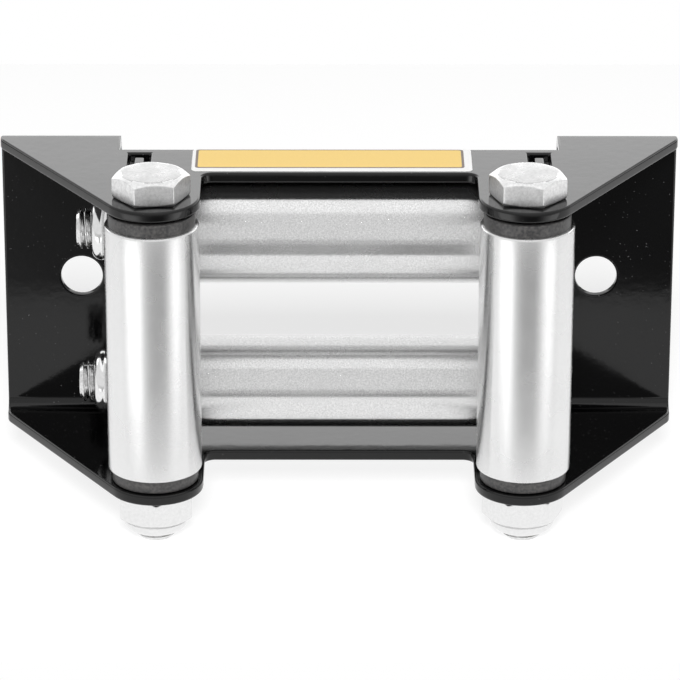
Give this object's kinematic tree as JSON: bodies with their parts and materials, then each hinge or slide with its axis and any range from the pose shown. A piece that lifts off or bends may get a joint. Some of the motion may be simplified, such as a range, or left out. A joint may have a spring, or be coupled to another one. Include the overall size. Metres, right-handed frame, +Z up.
{
  "type": "roller fairlead",
  "caption": "Folded black steel bracket with upright and level steel rollers round a cable window, for guiding a winch rope.",
  "frame": {"origin": "middle point between the two mounting holes, on the bracket's rear face", "axes": "+X along the bracket's width, to the right seen from the cable's side; +Y to the rear, towards the winch; +Z up"},
  "size_m": [0.161, 0.0567, 0.0907],
  "materials": {
    "bracket_coating": "gloss black powder coat",
    "roller_steel": "satin zinc plate",
    "bushing_plastic": "matte, dark grey",
    "zinc_fastener": "bright zinc plate",
    "insert_nylon": "natural nylon"
  },
  "bodies": {
    "frame": {"bracket": "bracket_coating", "vertical_bolt_left": "zinc_fastener", "vertical_lock_nut_left": "zinc_fastener", "vertical_nut_insert_left": "insert_nylon", "vertical_bolt_right": "zinc_fastener", "vertical_lock_nut_right": "zinc_fastener", "vertical_nut_insert_right": "insert_nylon", "horizontal_bolt_upper": "zinc_fastener", "horizontal_lock_nut_upper": "zinc_fastener", "horizontal_nut_insert_upper": "insert_nylon", "horizontal_bolt_lower": "zinc_fastener", "horizontal_lock_nut_lower": "zinc_fastener", "horizontal_nut_insert_lower": "insert_nylon"},
    "vertical_roller_left": {"vertical_roller_left": "roller_steel", "vertical_bushing_left_lower": "bushing_plastic", "vertical_bushing_left_upper": "bushing_plastic"},
    "vertical_roller_right": {"vertical_roller_right": "roller_steel", "vertical_bushing_right_lower": "bushing_plastic", "vertical_bushing_right_upper": "bushing_plastic"},
    "horizontal_roller_upper": {"horizontal_roller_upper": "roller_steel", "horizontal_bushing_upper_left": "bushing_plastic", "horizontal_bushing_upper_right": "bushing_plastic"},
    "horizontal_roller_lower": {"horizontal_roller_lower": "roller_steel", "horizontal_bushing_lower_left": "bushing_plastic", "horizontal_bushing_lower_right": "bushing_plastic"}
  },
  "joints": [
    {"name": "vertical_left_spin", "type": "hinge", "parent": "frame", "child": "vertical_roller_left", "pos_m": [-0.0432, -0.0454, 0], "axis": [0, 0, 1], "continuous": true},
    {"name": "vertical_right_spin", "type": "hinge", "parent": "frame", "child": "vertical_roller_right", "pos_m": [0.0432, -0.0454, 0], "axis": [0, 0, 1], "continuous": true},
    {"name": "horizontal_upper_spin", "type": "hinge", "parent": "frame", "child": "horizontal_roller_upper", "pos_m": [0, -0.021, 0.01955], "axis": [1, 0, 0], "continuous": true},
    {"name": "horizontal_lower_spin", "type": "hinge", "parent": "frame", "child": "horizontal_roller_lower", "pos_m": [0, -0.021, -0.01955], "axis": [1, 0, 0], "continuous": true}
  ]
}
